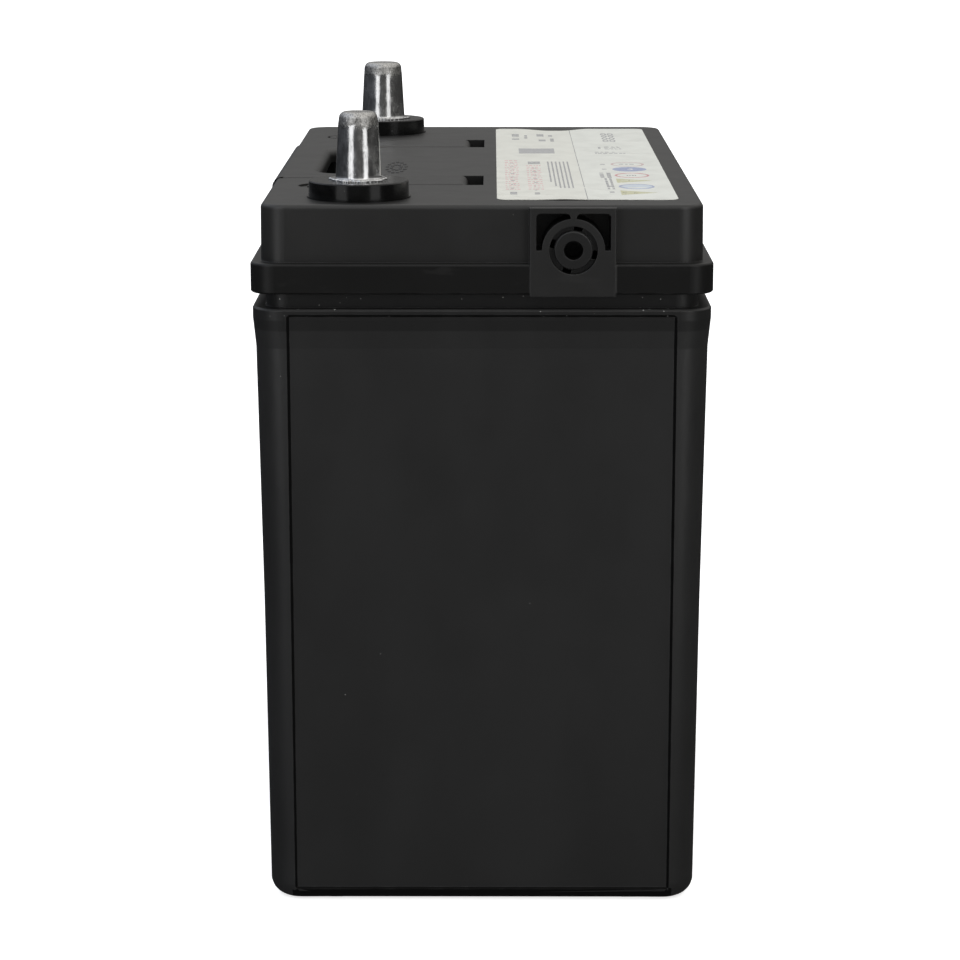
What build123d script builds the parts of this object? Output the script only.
from build123d import *
import os
from math import cos, radians, sin

# Twelve volt lead acid starter battery in the narrow B24 case, with thin tapered posts.
# Millimetres. +Z is up, +Y runs along the battery, both posts stand on the -X side and the
# origin is at the centre of the base.

os.makedirs("parts", exist_ok=True)

# Overall size of the case
LENGTH = 238.0
WIDTH = 129.0
LID_TOP = 203.0
POST_TOP = 227.0
STRETCH = LENGTH - WIDTH  # every horizontal outline is this much longer than it is wide

# Container walls: width of the drafted box from the base to the rim
BASE_WIDTH = 123.2
MIDDLE_WIDTH = 124.7
SHOULDER_WIDTH = 126.9
RIM_WIDTH = 128.4
MIDDLE_HEIGHT = 90.0
SHOULDER_HEIGHT = 163.0
RIM_START = 171.0
RIM_TOP = 174.2
WALL_CORNER = 9.0
BASE_ROUND = 5.5
NECK_WIDTH = 121.2
NECK_TOP = 182.0
NECK_CORNER = 6.5
PANEL_DEPTH = 0.8
PANEL_BOTTOM = 4.4
PANEL_TOP = 172.0
PANEL_MARGIN = 11.0  # from the rim's side to the panel's edge
PANEL_WRAP = 0.3  # the panel reaches this far into the corner's round
PANEL_CLEAR = 0.1
RIM_CHAMFER = 0.5
FOOT_RELIEF = 0.6
RELIEF_WIDTH = 0.66 * BASE_WIDTH
RELIEF_LENGTH = 0.8 * LENGTH

# Six cells in a row
CELLS = 6
CELL_PITCH = 38.0
CELL_LENGTH = 36.0
CELL_WIDTH = 116.8
CELL_CORNER = 2.0
FLOOR = 2.6
REST_RIB_HEIGHT = 4.4
REST_RIB_WIDTH = 2.5
REST_RIB_X = 30.0

# Lid
SKIRT_BOTTOM = 178.4
FLANGE_TOP = 186.9
FLANGE_LENGTH_TRIM = 0.4
FLANGE_ROUND = 0.8
SKIRT_CHAMFER = 0.4
SKIRT_CORNER = 7.0
SEAT_CLEARANCE = 0.3
LID_WIDTH = 123.4
LID_DRAFT = 0.25
LID_LENGTH = 232.4
LID_CORNER = 7.0
LID_EDGE_ROUND = 1.3
CEILING = 193.5
THIN_CEILING = 200.3
THIN_ROOF_OUTER = -57.0
THIN_ROOF_INNER = 2.0

# Gas gallery under the cover plate and the label
GALLERY_X = 29.65
GALLERY_FLOOR = 196.5
GALLERY_WIDTH = 43.0
GALLERY_LENGTH = 204.0
COVER_WIDTH = 49.0
COVER_LENGTH = 208.0
COVER_THICKNESS = 2.0
COVER_GAP = 0.15
LABEL_WIDTH = 50.9
LABEL_LENGTH = 210.0
LABEL_THICKNESS = 0.15
LABEL_CORNER = 3.0
PLUG_RADIUS = 5.4
WELL_RADIUS = 5.5
PLUG_HEAD_RADIUS = 6.8
PLUG_BOTTOM = 187.5
PLUG_HEAD_TOP = 200.2
SEAL_THICKNESS = 1.0
WELL_WALL = 2.2
COIN_SLOT_LENGTH = 10.0
COIN_SLOT_WIDTH = 1.8
COIN_SLOT_DEPTH = 1.2
BREATHER_RADIUS = 1.0
RECESS_CORNER = 2.0

# Vent outlets, one in each end of the lid
BOSS_X = 25.15
BOSS_WIDTH = 24.1
BOSS_BOTTOM = 177.8
BOSS_DROP = 0.6  # from the lid's top to the boss's top
BOSS_DEPTH = 12.0
BOSS_ROUND = 0.5
VENT_X = 25.3
VENT_Z = 190.7
PORT_RADIUS = 2.65
DISC_RADIUS = 5.4
DISC_CHAMFER = 0.35
VENT_BORE = 6.7
VENT_WALL = 5.0
VENT_BLOCK_Y = 99.0
DUCT_HALF = 4.0
DUCT_OVERLAP = 1.0
DUCT_REACH = 3.0
ARCH_RADIUS = 8.75
WINDOW_HALF_SPAN = 10.3
WINDOW_HEIGHT = 10.2
WINDOW_DEPTH = 11.0
WINDOW_RIB = 1.7
WINDOW_CORNER = 1.3
INSERT_LENGTH = 8.0
INSERT_RECESS = 0.1
GROOVE_DEPTH = 1.6
SLOT_ANGLES = (77, 164, 253, 346)
SLOT_WIDTH = 2.4
SLOT_REACH = 2.2
ARRESTOR_THICKNESS = 3.0
ARRESTOR_GAP = 0.2

# Terminals
POST_X = -34.8
POST_Y = 96.4
NEGATIVE_DIAMETER = 13.0
POSITIVE_DIAMETER = 14.7
POST_TAPER = 1 / 9  # diameter lost per unit of height
COLLAR_RADIUS = 14.2
COLLAR_TOP = 207.8
COLLAR_BASE_RADIUS = 14.7
COLLAR_BASE_HEIGHT = 0.5
COLLAR_DRAFT = 0.1
COLLAR_CHAMFER = 0.3
BUSHING_STEM = 8.4
BUSHING_FLANGE = 11.0
BUSHING_WALL = 2.5
BUSHING_FLANGE_BOTTOM = 193.0
BUSHING_FLANGE_TOP = 195.0
BUSHING_BOTTOM = 184.0
BUSHING_SLEEVE = 7.5
BUSHING_RING = 9.2
RING_HEIGHT = 0.6
BURN_HEIGHT = 4.0
BURN_ROUND = 2.2
RISER_RADIUS = 4.2
RISER_FOOT = 1.2
RISER_FOOT_HEIGHT = 8.0
RISER_GAP = 0.1

# Polarity marks sunk in the top
MARK_DEPTH = 0.6
DISH_MARK = (-47.5, -68.5)
DISH_RADIUS = 6.2
BAR_LENGTH = 7.0
BAR_WIDTH = 1.8
RING_MARK = (-46.5, 77.5)
RING_MARK_OUTER = 6.6
RING_MARK_INNER = 5.9
CROSS_LENGTH = 7.5
CROSS_WIDTH = 1.7

# Carrying handle: a flat bail that lies in the lid and hinges near the lid's middle
HINGE_X = -7.2
HINGE_Z = 200.0
HANDLE_TOP = 203.3
HANDLE_UNDERSIDE = 199.2
HANDLE_GAP = 0.3
BED_GAP = 0.4
ARM_INNER = 43.0
ARM_OUTER = 67.2
ARM_END = -4.3
GRIP_OUTER = -62.8
GRIP_INNER = -49.5
GRIP_HALF = 48.9
GRIP_SKIRT_BOTTOM = 192.5
GRIP_SKIRT_THICKNESS = 3.2
GRIP_ROUND = 3.0
GRIP_INNER_ROUND = 2.4
WEB_INNER = 38.0
WEB_OUTER_BEND = -43.0  # where the outline leaves the grip's width on its way to the arm
ARM_OUTER_BEND = -29.0
ARM_INNER_BEND = -31.0
WEB_INNER_BEND = -38.0
BEND_RADIUS = 5.0
WEB_RADIUS = 4.0
GRIP_RADIUS = 9.0
GRIP_CORNER = 0.8
ARM_CORNER = 0.5
KNUCKLE_RADIUS = 2.6
STUB_RADIUS = 1.5
STUB_CLEARANCE = 0.06
STUB_LENGTH = 2.2
SLOT_END = 0.3
SLOT_FLOOR = 195.6
POCKET_INNER = -36.0
POCKET_HALF = 41.0
POCKET_FLOOR = 190.5
POCKET_WALL = 2.0
POCKET_CORNER = 4.0
POCKET_OVERLAP = 6.0
HINGE_SLOT_GAP = 0.6

# Plate groups: five positive and six negative plates in each cell
POSITIVE_THICKNESS = 2.2
NEGATIVE_THICKNESS = 1.8
PLATE_STEP = 3.05
PLATE_WIDTH = 109.0
PLATE_TOP = 135.0
POSITIVES = 5
NEGATIVES = 6
SEPARATOR_THICKNESS = 0.8
SEPARATOR_MARGIN = 1.5
TAB_WIDTH = 12.0
TAB_TOP = 146.0
STRAP_X = 34.8
STRAP_WIDTH = 15.0
STRAP_THICKNESS = 7.0
STRAP_HALF_LENGTH = 16.0
STRAP_LUG_TOP = 169.0
STRAP_LUG_THICKNESS = 4.0
WELD_Z = 160.5
WELD_RADIUS = 5.5

PLATE_BOTTOM = FLOOR + REST_RIB_HEIGHT
STRAP_TOP = TAB_TOP + STRAP_THICKNESS
CELL_CENTRES = [(index - (CELLS - 1) / 2) * CELL_PITCH for index in range(CELLS)]
PARTITIONS = [centre + CELL_PITCH / 2 for centre in CELL_CENTRES[:-1]]
ENDS = (("front", -1), ("rear", 1))
TERMINALS = (
    ("negative", -1, NEGATIVE_DIAMETER),
    ("positive", 1, POSITIVE_DIAMETER),
)


def save(piece, name):
    """Labels one finished piece and writes it."""
    piece.part.label = name
    export_step(piece.part, f"parts/{name}.step")


WALL_STATIONS = (
    (0, BASE_WIDTH),
    (MIDDLE_HEIGHT, MIDDLE_WIDTH),
    (SHOULDER_HEIGHT, SHOULDER_WIDTH),
    (RIM_START, RIM_WIDTH),
    (RIM_TOP, RIM_WIDTH),
)


def wall_width(height):
    """Width of the drafted container at a height, between its stations."""
    for (low, low_width), (high, high_width) in zip(WALL_STATIONS, WALL_STATIONS[1:]):
        if height <= high:
            return low_width + (high_width - low_width) * (height - low) / (high - low)
    return RIM_WIDTH


def drafted_wall():
    """The container's outer wall."""
    with BuildPart() as wall:
        for height, width in WALL_STATIONS:
            with BuildSketch(Plane.XY.offset(height)):
                RectangleRounded(width, width + STRETCH, WALL_CORNER)
        loft(ruled=True)
    return wall.part


def panel_recess(half_width, extra, turn):
    """What is cut from one wall: a flat panel of PANEL_DEPTH with slopes of 45 degrees on all four sides.
    extra is how much further this wall stands from the middle than half the width."""
    stations = (
        (PANEL_BOTTOM - PANEL_DEPTH, -PANEL_CLEAR),
        (PANEL_BOTTOM, PANEL_DEPTH),
        (MIDDLE_HEIGHT, PANEL_DEPTH),
        (SHOULDER_HEIGHT, PANEL_DEPTH),
        (RIM_START, PANEL_DEPTH),
        (PANEL_TOP, PANEL_DEPTH),
        (PANEL_TOP + PANEL_DEPTH, -PANEL_CLEAR),
    )
    outer = WIDTH / 2 + extra + 1
    with BuildPart() as recess:
        for height, depth in stations:
            inner = wall_width(height) / 2 + extra - depth
            spread = outer - inner
            corners = (
                (inner, -half_width),
                (outer, -half_width - spread),
                (outer, half_width + spread),
                (inner, half_width),
            )
            with BuildSketch(Plane.XY.offset(height)):
                with BuildLine(Plane.XY):
                    Polyline(*corners, close=True)
                make_face()
        loft(ruled=True)
    return recess.part.rotate(Axis.Z, turn)


def span_box(low, high):
    """A box between two corners, for use inside a part."""
    centre = [(a + b) / 2 for a, b in zip(low, high)]
    size = [b - a for a, b in zip(low, high)]
    return Location(centre), size


# ---------------------------------------------------------------- container

PANEL_HALF_WIDTH = RIM_WIDTH / 2 - PANEL_MARGIN + PANEL_WRAP
PANEL_HALF_LENGTH = PANEL_HALF_WIDTH + STRETCH / 2

with BuildPart() as container:
    add(drafted_wall())
    fillet(container.edges().group_by(Axis.Z)[0], BASE_ROUND)
    for turn in (0, 180):
        add(panel_recess(PANEL_HALF_LENGTH, 0, turn), mode=Mode.SUBTRACT)
        add(panel_recess(PANEL_HALF_WIDTH, STRETCH / 2, turn + 90), mode=Mode.SUBTRACT)
    rim_edges = container.edges().group_by(Axis.Z)[-1]
    chamfer(rim_edges, RIM_CHAMFER)
    # Neck that the lid is welded to
    with BuildSketch(Plane.XY.offset(RIM_TOP)):
        RectangleRounded(NECK_WIDTH, NECK_WIDTH + STRETCH, NECK_CORNER)
    extrude(amount=NECK_TOP - RIM_TOP)
    # Cells, open at the top
    with BuildSketch(Plane.XY.offset(FLOOR)):
        with GridLocations(0, CELL_PITCH, 1, CELLS):
            RectangleRounded(CELL_WIDTH, CELL_LENGTH, CELL_CORNER)
    extrude(amount=NECK_TOP - FLOOR, mode=Mode.SUBTRACT)
    # Ribs that the plates stand on
    with Locations((0, 0, FLOOR + REST_RIB_HEIGHT / 2)):
        with GridLocations(2 * REST_RIB_X, CELL_PITCH, 2, CELLS):
            Box(REST_RIB_WIDTH, CELL_LENGTH, REST_RIB_HEIGHT)
    # Holes in the partitions for the welded connections between cells
    for index, partition in enumerate(PARTITIONS):
        side = STRAP_X if index % 2 == 0 else -STRAP_X
        with BuildSketch(Plane.XZ.offset(-partition)):
            with Locations((side, WELD_Z)):
                Circle(WELD_RADIUS)
        extrude(amount=CELL_PITCH - CELL_LENGTH, both=True, mode=Mode.SUBTRACT)
    # Shallow relief under the base, which leaves a foot at each corner
    with Locations((0, 0, FOOT_RELIEF / 2)):
        Box(RELIEF_WIDTH, LENGTH, FOOT_RELIEF, mode=Mode.SUBTRACT)
        Box(WIDTH, RELIEF_LENGTH, FOOT_RELIEF, mode=Mode.SUBTRACT)
save(container, "container")

# ---------------------------------------------------------------------- lid


def bail_outline(gap):
    """Plan of the handle from the hinge to the grip, grown by gap on every side."""
    corners = (
        (GRIP_OUTER - gap, GRIP_HALF + gap, GRIP_CORNER),
        (WEB_OUTER_BEND, GRIP_HALF + gap, BEND_RADIUS),
        (ARM_OUTER_BEND, ARM_OUTER + gap, BEND_RADIUS),
        (ARM_END, ARM_OUTER + gap, ARM_CORNER),
        (ARM_END, ARM_INNER - gap, ARM_CORNER),
        (ARM_INNER_BEND + gap, ARM_INNER - gap, BEND_RADIUS),
        (WEB_INNER_BEND + gap, WEB_INNER - gap, WEB_RADIUS),
        (GRIP_INNER + gap, WEB_INNER - gap, GRIP_RADIUS),
    )
    other_half = [(x, -y, radius) for x, y, radius in reversed(corners)]
    points = [(x, y) for x, y, _ in (*corners, *other_half)]
    radii = [radius for *_, radius in (*corners, *other_half)]
    with BuildSketch() as outline:
        with BuildLine():
            FilletPolyline(*points, radius=radii, close=True)
        make_face()
    return outline.sketch


# Hollow of the lid over the six cells, less what has to stay solid in it
with BuildPart() as lid_hollow:
    with BuildSketch(Plane.XY.offset(NECK_TOP)):
        with GridLocations(0, CELL_PITCH, 1, CELLS):
            RectangleRounded(CELL_WIDTH, CELL_LENGTH, CELL_CORNER)
    extrude(amount=CEILING - NECK_TOP)
    # Thinner roof between the handle's arms and beside the posts
    for centre in CELL_CENTRES:
        low_x = THIN_ROOF_OUTER if abs(centre) > POST_Y - CELL_PITCH else POCKET_INNER + 2 * POCKET_WALL
        if abs(centre) < CELL_PITCH or abs(centre) > 2 * CELL_PITCH:
            reach = CELL_LENGTH / 2 - 1
            place, size = span_box(
                (low_x, centre - reach, CEILING),
                (THIN_ROOF_INNER, centre + reach, THIN_CEILING),
            )
            with Locations(place):
                Box(*size)
    for _, sign in ENDS:
        # Posts' bushings stay embedded
        with Locations((POST_X, sign * POST_Y, (BUSHING_BOTTOM + LID_TOP) / 2)):
            Cylinder(BUSHING_FLANGE + BUSHING_WALL, LID_TOP - BUSHING_BOTTOM, mode=Mode.SUBTRACT)
        # Block behind each vent outlet
        corners = sorted((sign * LENGTH / 2, sign * VENT_BLOCK_Y))
        place, size = span_box(
            (VENT_X - VENT_BORE - VENT_WALL, corners[0], NECK_TOP),
            (VENT_X + VENT_BORE + VENT_WALL, corners[1], LID_TOP),
        )
        with Locations(place):
            Box(*size, mode=Mode.SUBTRACT)
    # Walls of the finger pocket
    reach = GRIP_HALF + HANDLE_GAP + POCKET_WALL
    place, size = span_box(
        (-WIDTH / 2, -reach, POCKET_FLOOR - POCKET_WALL),
        (POCKET_INNER + POCKET_WALL, reach, LID_TOP),
    )
    with Locations(place):
        Box(*size, mode=Mode.SUBTRACT)
    # Wells of the vent plugs
    with Locations((GALLERY_X, 0, (PLUG_BOTTOM + CEILING) / 2)):
        with GridLocations(0, CELL_PITCH, 1, CELLS):
            Cylinder(WELL_RADIUS + WELL_WALL, CEILING - PLUG_BOTTOM, mode=Mode.SUBTRACT)

# Drafted box that stands on the lid's flange
with BuildPart() as lid_box:
    for height, inset in ((SKIRT_BOTTOM + 4, 0), (LID_TOP, LID_DRAFT)):
        with BuildSketch(Plane.XY.offset(height)):
            RectangleRounded(LID_WIDTH - inset, LID_LENGTH - inset, LID_CORNER)
    loft(ruled=True)
    fillet(lid_box.edges().group_by(Axis.Z)[-1], LID_EDGE_ROUND)

with BuildPart() as lid:
    # Flange with its skirt
    with BuildSketch(Plane.XY.offset(SKIRT_BOTTOM)):
        RectangleRounded(WIDTH, LENGTH - FLANGE_LENGTH_TRIM, SKIRT_CORNER)
    extrude(amount=FLANGE_TOP - SKIRT_BOTTOM)
    fillet(lid.edges().group_by(Axis.Z)[-1], FLANGE_ROUND)
    chamfer(lid.edges().group_by(Axis.Z)[0], SKIRT_CHAMFER)
    add(lid_box.part)
    # Boss of the vent outlet at each end
    for _, sign in ENDS:
        corners = sorted((sign * LENGTH / 2, sign * (LENGTH / 2 - BOSS_DEPTH)))
        place, size = span_box(
            (BOSS_X - BOSS_WIDTH / 2, corners[0], BOSS_BOTTOM),
            (BOSS_X + BOSS_WIDTH / 2, corners[1], LID_TOP - BOSS_DROP),
        )
        with Locations(place):
            Box(*size)
    boss_rims = lid.edges().filter_by(Axis.Z).filter_by_position(Axis.Y, -LENGTH / 2, -LENGTH / 2)
    boss_rims += lid.edges().filter_by(Axis.Z).filter_by_position(Axis.Y, LENGTH / 2, LENGTH / 2)
    fillet(boss_rims, BOSS_ROUND)
    # Space for the container's neck inside the skirt
    with BuildSketch(Plane.XY.offset(BOSS_BOTTOM)):
        room = NECK_WIDTH + 2 * SEAT_CLEARANCE
        RectangleRounded(room, room + STRETCH, NECK_CORNER + SEAT_CLEARANCE)
    extrude(amount=NECK_TOP - BOSS_BOTTOM, mode=Mode.SUBTRACT)
    add(lid_hollow.part, mode=Mode.SUBTRACT)
    # Recess of the cover plate, gas gallery and wells of the vent plugs
    with BuildSketch(Plane.XY.offset(LID_TOP)):
        with Locations((GALLERY_X, 0)):
            RectangleRounded(COVER_WIDTH + 2 * COVER_GAP, COVER_LENGTH + 2 * COVER_GAP, RECESS_CORNER)
    extrude(amount=-COVER_THICKNESS, mode=Mode.SUBTRACT)
    with BuildSketch(Plane.XY.offset(LID_TOP - COVER_THICKNESS)):
        with Locations((GALLERY_X, 0)):
            RectangleRounded(GALLERY_WIDTH, GALLERY_LENGTH, RECESS_CORNER)
    extrude(amount=GALLERY_FLOOR - LID_TOP + COVER_THICKNESS, mode=Mode.SUBTRACT)
    with BuildSketch(Plane.XY.offset(GALLERY_FLOOR)):
        with Locations((GALLERY_X, 0)):
            with GridLocations(0, CELL_PITCH, 1, CELLS):
                Circle(WELL_RADIUS)
    extrude(amount=NECK_TOP - GALLERY_FLOOR, mode=Mode.SUBTRACT)
    for _, sign in ENDS:
        face = Plane(origin=(VENT_X, sign * LENGTH / 2, VENT_Z), x_dir=(-sign, 0, 0), z_dir=(0, sign, 0))
        # Bore for the vent insert and the flame arrestor, and the duct up to the gallery
        with BuildSketch(face):
            Circle(VENT_BORE)
        extrude(amount=-(INSERT_RECESS + INSERT_LENGTH + ARRESTOR_THICKNESS), mode=Mode.SUBTRACT)
        duct_end = LENGTH / 2 - INSERT_RECESS - INSERT_LENGTH - ARRESTOR_THICKNESS
        corners = sorted((sign * duct_end, sign * (GALLERY_LENGTH / 2 + DUCT_REACH)))
        place, size = span_box(
            (VENT_X - DUCT_HALF, corners[0], VENT_Z - DUCT_HALF),
            (VENT_X + DUCT_HALF, corners[1], VENT_Z + DUCT_HALF),
        )
        with Locations(place):
            Box(*size, mode=Mode.SUBTRACT)
        corners = sorted(
            (
                sign * (GALLERY_LENGTH / 2 - DUCT_OVERLAP),
                sign * (GALLERY_LENGTH / 2 + DUCT_REACH),
            )
        )
        place, size = span_box(
            (VENT_X - DUCT_HALF, corners[0], VENT_Z - DUCT_HALF),
            (VENT_X + DUCT_HALF, corners[1], LID_TOP - COVER_THICKNESS),
        )
        with Locations(place):
            Box(*size, mode=Mode.SUBTRACT)
        # Windows over the arch round the bore
        with BuildSketch(face):
            for side in (-1, 1):
                with Locations((side * (WINDOW_HALF_SPAN + WINDOW_RIB / 2) / 2, WINDOW_HEIGHT / 2)):
                    Rectangle(WINDOW_HALF_SPAN - WINDOW_RIB / 2, WINDOW_HEIGHT)
            fillet(vertices().group_by(Axis.Y)[-1], WINDOW_CORNER)
            Circle(ARCH_RADIUS, mode=Mode.SUBTRACT)
        extrude(amount=-WINDOW_DEPTH, mode=Mode.SUBTRACT)
    # Seats of the lead bushings
    for _, sign in ENDS:
        with BuildSketch(Plane.XY.offset(NECK_TOP)):
            with Locations((POST_X, sign * POST_Y)):
                Circle(BUSHING_SLEEVE)
        extrude(amount=BUSHING_FLANGE_BOTTOM - NECK_TOP, mode=Mode.SUBTRACT)
        with BuildSketch(Plane.XY.offset(BUSHING_FLANGE_BOTTOM)):
            with Locations((POST_X, sign * POST_Y)):
                Circle(BUSHING_FLANGE)
        extrude(amount=BUSHING_FLANGE_TOP - BUSHING_FLANGE_BOTTOM, mode=Mode.SUBTRACT)
        with BuildSketch(Plane.XY.offset(BUSHING_FLANGE_TOP)):
            with Locations((POST_X, sign * POST_Y)):
                Circle(BUSHING_STEM)
        extrude(amount=LID_TOP - BUSHING_FLANGE_TOP, mode=Mode.SUBTRACT)
    # Bed of the handle, with the finger pocket beside and under the grip
    with BuildSketch(Plane.XY.offset(HANDLE_UNDERSIDE - BED_GAP)):
        add(bail_outline(HANDLE_GAP))
    extrude(amount=LID_TOP, mode=Mode.SUBTRACT)
    place, size = span_box(
        (-WIDTH / 2, -GRIP_HALF - HANDLE_GAP, POCKET_FLOOR),
        (GRIP_INNER + HANDLE_GAP, GRIP_HALF + HANDLE_GAP, POST_TOP),
    )
    with Locations(place):
        Box(*size, mode=Mode.SUBTRACT)
    with BuildSketch(Plane.XY.offset(POCKET_FLOOR)):
        with Locations(((GRIP_INNER + POCKET_INNER - POCKET_OVERLAP) / 2, 0)):
            RectangleRounded(POCKET_INNER - GRIP_INNER + POCKET_OVERLAP, 2 * POCKET_HALF, POCKET_CORNER)
    extrude(amount=LID_TOP, mode=Mode.SUBTRACT)
    for side in (-1, 1):
        corners = sorted((side * (ARM_INNER - HANDLE_GAP), side * (ARM_OUTER + HANDLE_GAP)))
        place, size = span_box(
            (HINGE_X - KNUCKLE_RADIUS - HINGE_SLOT_GAP, corners[0], SLOT_FLOOR),
            (SLOT_END, corners[1], POST_TOP),
        )
        with Locations(place):
            Box(*size, mode=Mode.SUBTRACT)
        # Bearing holes of the hinge in both walls of the slot
        middle = side * (ARM_INNER + ARM_OUTER) / 2
        depth = ARM_OUTER - ARM_INNER + 2 * STUB_LENGTH + 2 * HANDLE_GAP
        with Locations(Location((HINGE_X, middle, HINGE_Z), (90, 0, 0))):
            Cylinder(STUB_RADIUS + STUB_CLEARANCE, depth, mode=Mode.SUBTRACT)
    # Polarity marks sunk in the top: a dish with a bar, and a ring with a cross
    with BuildSketch(Plane.XY.offset(LID_TOP)):
        with Locations(DISH_MARK):
            Circle(DISH_RADIUS)
            Rectangle(BAR_LENGTH, BAR_WIDTH, mode=Mode.SUBTRACT)
        with Locations(RING_MARK):
            Circle(RING_MARK_OUTER)
            Circle(RING_MARK_INNER, mode=Mode.SUBTRACT)
            Rectangle(CROSS_LENGTH, CROSS_WIDTH)
            Rectangle(CROSS_WIDTH, CROSS_LENGTH)
    extrude(amount=-MARK_DEPTH, mode=Mode.SUBTRACT)
save(lid, "lid")

# ------------------------------------------------- gas gallery's loose pieces

with BuildPart() as vent_cover:
    with BuildSketch(Plane.XY.offset(LID_TOP - COVER_THICKNESS)):
        with Locations((GALLERY_X, 0)):
            RectangleRounded(COVER_WIDTH, COVER_LENGTH, RECESS_CORNER)
    extrude(amount=COVER_THICKNESS)
save(vent_cover, "vent_cover")

with BuildPart() as label_sheet:
    with BuildSketch(Plane.XY.offset(LID_TOP)):
        with Locations((GALLERY_X, 0)):
            RectangleRounded(LABEL_WIDTH, LABEL_LENGTH, LABEL_CORNER)
    extrude(amount=LABEL_THICKNESS)
save(label_sheet, "label_sheet")

with BuildPart() as vent_plugs:
    with BuildSketch(Plane.XY.offset(PLUG_BOTTOM)):
        with Locations((GALLERY_X, 0)):
            with GridLocations(0, CELL_PITCH, 1, CELLS):
                Circle(PLUG_RADIUS)
    extrude(amount=GALLERY_FLOOR + SEAL_THICKNESS - PLUG_BOTTOM)
    with BuildSketch(Plane.XY.offset(GALLERY_FLOOR + SEAL_THICKNESS)):
        with Locations((GALLERY_X, 0)):
            with GridLocations(0, CELL_PITCH, 1, CELLS):
                Circle(PLUG_HEAD_RADIUS)
    extrude(amount=PLUG_HEAD_TOP - GALLERY_FLOOR - SEAL_THICKNESS)
    # Coin slot in each head and the breathing hole
    with BuildSketch(Plane.XY.offset(PLUG_HEAD_TOP)):
        with Locations((GALLERY_X, 0)):
            with GridLocations(0, CELL_PITCH, 1, CELLS):
                Rectangle(COIN_SLOT_LENGTH, COIN_SLOT_WIDTH)
    extrude(amount=-COIN_SLOT_DEPTH, mode=Mode.SUBTRACT)
    with BuildSketch(Plane.XY.offset(PLUG_HEAD_TOP)):
        with Locations((GALLERY_X, 0)):
            with GridLocations(0, CELL_PITCH, 1, CELLS):
                Circle(BREATHER_RADIUS)
    extrude(amount=PLUG_BOTTOM - PLUG_HEAD_TOP, mode=Mode.SUBTRACT)
save(vent_plugs, "vent_plugs")

with BuildPart() as vent_plug_seals:
    with BuildSketch(Plane.XY.offset(GALLERY_FLOOR)):
        with Locations((GALLERY_X, 0)):
            with GridLocations(0, CELL_PITCH, 1, CELLS):
                Circle(PLUG_HEAD_RADIUS)
                Circle(WELL_RADIUS, mode=Mode.SUBTRACT)
    extrude(amount=SEAL_THICKNESS)
save(vent_plug_seals, "vent_plug_seals")

# ------------------------------------------------------------- vent outlets

for end, sign in ENDS:
    seat = Plane(
        origin=(VENT_X, sign * (LENGTH / 2 - INSERT_RECESS), VENT_Z),
        x_dir=(-sign, 0, 0),
        z_dir=(0, sign, 0),
    )
    back = seat.offset(-INSERT_LENGTH)
    with BuildPart() as vent_insert:
        # Base that fills the bore, with the raised disc round the port
        with BuildSketch(back):
            Circle(VENT_BORE)
        extrude(amount=INSERT_LENGTH - GROOVE_DEPTH)
        with BuildSketch(seat.offset(-GROOVE_DEPTH)):
            Circle(DISC_RADIUS)
        extrude(amount=GROOVE_DEPTH)
        disc_rim = vent_insert.faces().sort_by(Axis.Y)[0 if sign < 0 else -1].edges()
        chamfer(disc_rim, DISC_CHAMFER)
        with BuildSketch(seat):
            Circle(PORT_RADIUS)
        extrude(amount=-INSERT_LENGTH, mode=Mode.SUBTRACT)
        # Four gas slots in the floor of the groove
        for angle in SLOT_ANGLES:
            reach = DISC_RADIUS + SLOT_REACH / 2
            slot = Location((reach * cos(radians(angle)), reach * sin(radians(angle))), angle)
            with BuildSketch(seat.offset(-GROOVE_DEPTH)):
                with Locations(slot):
                    Rectangle(SLOT_REACH, SLOT_WIDTH)
            extrude(amount=-(INSERT_LENGTH - GROOVE_DEPTH), mode=Mode.SUBTRACT)
    save(vent_insert, f"vent_insert_{end}")

    with BuildPart() as flame_arrestor:
        with BuildSketch(back):
            Circle(VENT_BORE - ARRESTOR_GAP)
        extrude(amount=-ARRESTOR_THICKNESS)
    save(flame_arrestor, f"flame_arrestor_{end}")

# ---------------------------------------------------------------- terminals

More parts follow.
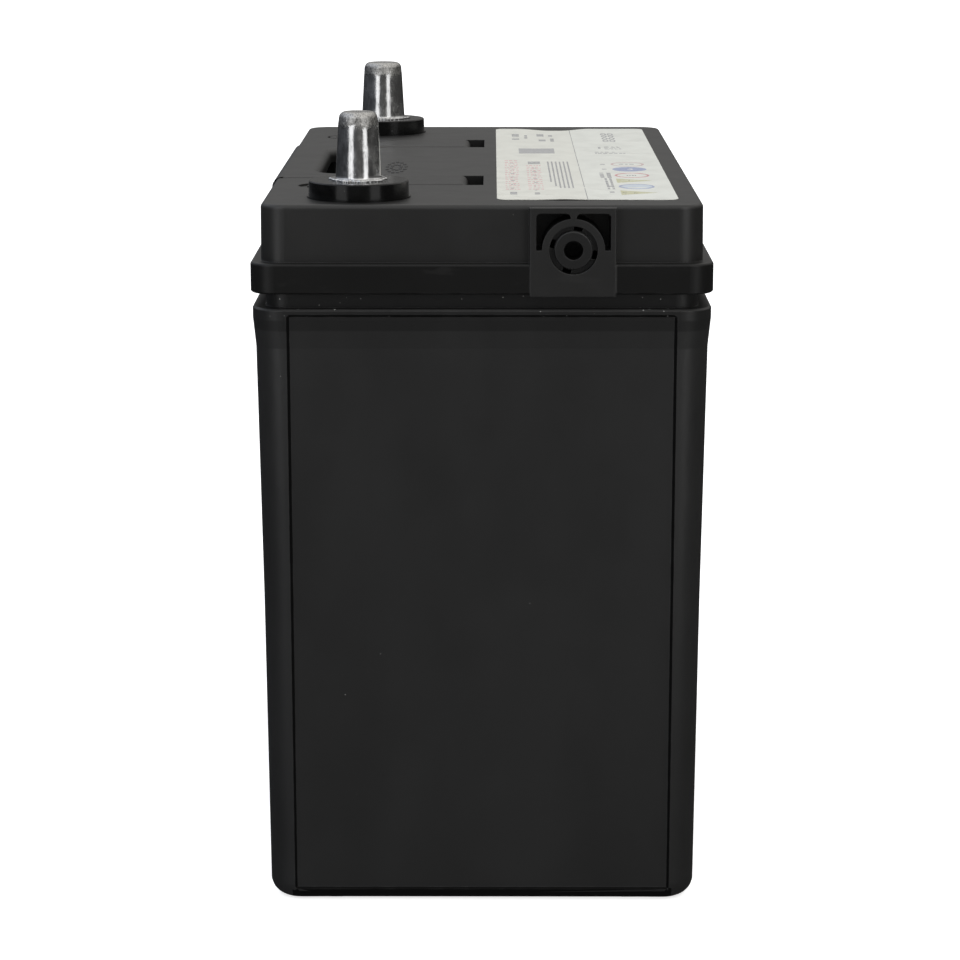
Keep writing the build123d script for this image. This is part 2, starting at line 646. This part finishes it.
for pole, sign, diameter in TERMINALS:
    axis = Plane(origin=(POST_X, sign * POST_Y, 0), x_dir=(1, 0, 0), z_dir=(0, -1, 0))
    base = COLLAR_TOP + RING_HEIGHT
    burn_bottom = POST_TOP - BURN_HEIGHT
    base_radius = diameter / 2
    burn_radius = base_radius - (burn_bottom - base) * POST_TAPER / 2
    top_radius = base_radius - (POST_TOP - base) * POST_TAPER / 2

    with BuildPart() as terminal_collar:
        with BuildSketch(axis):
            with BuildLine():
                Polyline(
                    (BUSHING_STEM, LID_TOP),
                    (COLLAR_BASE_RADIUS, LID_TOP),
                    (COLLAR_BASE_RADIUS, LID_TOP + COLLAR_BASE_HEIGHT),
                    (COLLAR_RADIUS, LID_TOP + COLLAR_BASE_HEIGHT),
                    (COLLAR_RADIUS - COLLAR_DRAFT, COLLAR_TOP - COLLAR_CHAMFER),
                    (COLLAR_RADIUS - COLLAR_DRAFT - COLLAR_CHAMFER, COLLAR_TOP),
                    (BUSHING_STEM, COLLAR_TOP),
                    close=True,
                )
            make_face()
        revolve(axis=Axis((POST_X, sign * POST_Y, 0), (0, 0, 1)))
    save(terminal_collar, f"terminal_collar_{pole}")

    with BuildPart() as bushing:
        with BuildSketch(axis):
            with BuildLine():
                Polyline(
                    (RISER_RADIUS + RISER_GAP, BUSHING_BOTTOM),
                    (BUSHING_SLEEVE, BUSHING_BOTTOM),
                    (BUSHING_SLEEVE, BUSHING_FLANGE_BOTTOM),
                    (BUSHING_FLANGE, BUSHING_FLANGE_BOTTOM),
                    (BUSHING_FLANGE, BUSHING_FLANGE_TOP),
                    (BUSHING_STEM, BUSHING_FLANGE_TOP),
                    (BUSHING_STEM, COLLAR_TOP),
                    (BUSHING_RING, COLLAR_TOP),
                    (BUSHING_RING, base),
                    (base_radius, base),
                    (burn_radius, burn_bottom),
                    (RISER_RADIUS + RISER_GAP, burn_bottom),
                    close=True,
                )
            make_face()
        revolve(axis=Axis((POST_X, sign * POST_Y, 0), (0, 0, 1)))
    save(bushing, f"{pole}_bushing")

    with BuildPart() as riser_post:
        # Rod from the strap through the bushing, burned into a cap on top
        with BuildSketch(axis):
            with BuildLine():
                outline = Polyline(
                    (0, STRAP_TOP),
                    (RISER_RADIUS + RISER_FOOT, STRAP_TOP),
                    (RISER_RADIUS, STRAP_TOP + RISER_FOOT_HEIGHT),
                    (RISER_RADIUS, burn_bottom),
                    (burn_radius, burn_bottom),
                    (top_radius, POST_TOP),
                    (0, POST_TOP),
                    close=True,
                )
            make_face()
        revolve(axis=Axis((POST_X, sign * POST_Y, 0), (0, 0, 1)))
        fillet(riser_post.edges().group_by(Axis.Z)[-1], BURN_ROUND)
    save(riser_post, f"{pole}_post")

# ------------------------------------------------------------------- handle

with BuildPart() as carry_handle:
    with BuildSketch(Plane.XY.offset(HANDLE_UNDERSIDE)):
        add(bail_outline(0))
    extrude(amount=HANDLE_TOP - HANDLE_UNDERSIDE)
    # Rounded inner edge of the grip
    grip_edges = carry_handle.edges().group_by(Axis.Z)[-1]
    grip_edges = grip_edges.filter_by_position(Axis.X, GRIP_INNER - 0.01, GRIP_INNER + GRIP_RADIUS + 0.01)
    grip_edges = grip_edges.filter_by_position(Axis.Y, -WEB_INNER - 0.01, WEB_INNER + 0.01)
    fillet(grip_edges, GRIP_INNER_ROUND)
    # Skirt of the grip, which wraps over the lid's edge
    place, size = span_box(
        (GRIP_OUTER, -GRIP_HALF, GRIP_SKIRT_BOTTOM),
        (GRIP_OUTER + GRIP_SKIRT_THICKNESS, GRIP_HALF, HANDLE_TOP),
    )
    with Locations(place):
        Box(*size)
    long_edges = carry_handle.edges().filter_by(Axis.Y)
    outer_top = long_edges.filter_by_position(Axis.X, GRIP_OUTER, GRIP_OUTER + 0.01)
    fillet(outer_top.sort_by(Axis.Z)[-1], GRIP_ROUND)
    # Knuckles and stub pins of the hinge
    for side in (-1, 1):
        middle = side * (ARM_INNER + ARM_OUTER) / 2
        width = ARM_OUTER - ARM_INNER
        with Locations(Location((HINGE_X, middle, HINGE_Z), (90, 0, 0))):
            Cylinder(KNUCKLE_RADIUS, width)
            Cylinder(STUB_RADIUS, width + 2 * STUB_LENGTH)
save(carry_handle, "carry_handle")

# --------------------------------------------------- plate groups, cell by cell

CONNECTION_GAP = (CELL_PITCH - CELL_LENGTH) / 2


def plate_group(centre, side, count, thickness, first):
    """Grid plates of one polarity, every second place, with a tab under the strap."""
    height = PLATE_TOP - PLATE_BOTTOM
    with BuildPart() as plates:
        for index in range(count):
            place = centre + (first + 2 * index - (POSITIVES + NEGATIVES - 1) / 2) * PLATE_STEP
            with Locations((0, place, PLATE_BOTTOM + height / 2)):
                Box(PLATE_WIDTH, thickness, height)
            with Locations((side * STRAP_X, place, (PLATE_TOP + TAB_TOP) / 2)):
                Box(TAB_WIDTH, thickness, TAB_TOP - PLATE_TOP)
    return plates


def strap(centre, side, lug_side):
    """Cast strap over the tabs, with a lug that stands against the partition it is welded through."""
    with BuildPart() as cast:
        with Locations((side * STRAP_X, centre, (TAB_TOP + STRAP_TOP) / 2)):
            Box(STRAP_WIDTH, 2 * STRAP_HALF_LENGTH, STRAP_THICKNESS)
        if lug_side:
            near = centre + lug_side * (CELL_LENGTH / 2)
            far = near - lug_side * STRAP_LUG_THICKNESS
            place, size = span_box(
                (side * STRAP_X - STRAP_WIDTH / 2, min(near, far), TAB_TOP),
                (side * STRAP_X + STRAP_WIDTH / 2, max(near, far), STRAP_LUG_TOP),
            )
            with Locations(place):
                Box(*size)
            fillet(cast.edges().filter_by(Axis.Y).group_by(Axis.Z)[-1], 4.0)
    return cast


for index, centre in enumerate(CELL_CENTRES):
    number = index + 1
    negative_side = -1 if index % 2 == 0 else 1
    save(
        plate_group(centre, -negative_side, POSITIVES, POSITIVE_THICKNESS, 1),
        f"positive_plates_{number}",
    )
    save(
        plate_group(centre, negative_side, NEGATIVES, NEGATIVE_THICKNESS, 0),
        f"negative_plates_{number}",
    )
    with BuildPart() as separators:
        sheet_height = PLATE_TOP - PLATE_BOTTOM + SEPARATOR_MARGIN
        sheets = POSITIVES + NEGATIVES - 1
        with Locations((0, centre, PLATE_BOTTOM + sheet_height / 2)):
            with GridLocations(0, PLATE_STEP, 1, sheets):
                Box(PLATE_WIDTH + 2 * SEPARATOR_MARGIN, SEPARATOR_THICKNESS, sheet_height)
    save(separators, f"separators_{number}")
    # The last cell has no cell after it, and the first none before it
    save(strap(centre, -negative_side, 1 if number < CELLS else 0), f"positive_strap_{number}")
    save(strap(centre, negative_side, -1 if number > 1 else 0), f"negative_strap_{number}")

with BuildPart() as intercell_connectors:
    for index, partition in enumerate(PARTITIONS):
        side = STRAP_X if index % 2 == 0 else -STRAP_X
        with BuildSketch(Plane.XZ.offset(-partition)):
            with Locations((side, WELD_Z)):
                Circle(WELD_RADIUS)
        extrude(amount=CONNECTION_GAP, both=True)
save(intercell_connectors, "intercell_connectors")
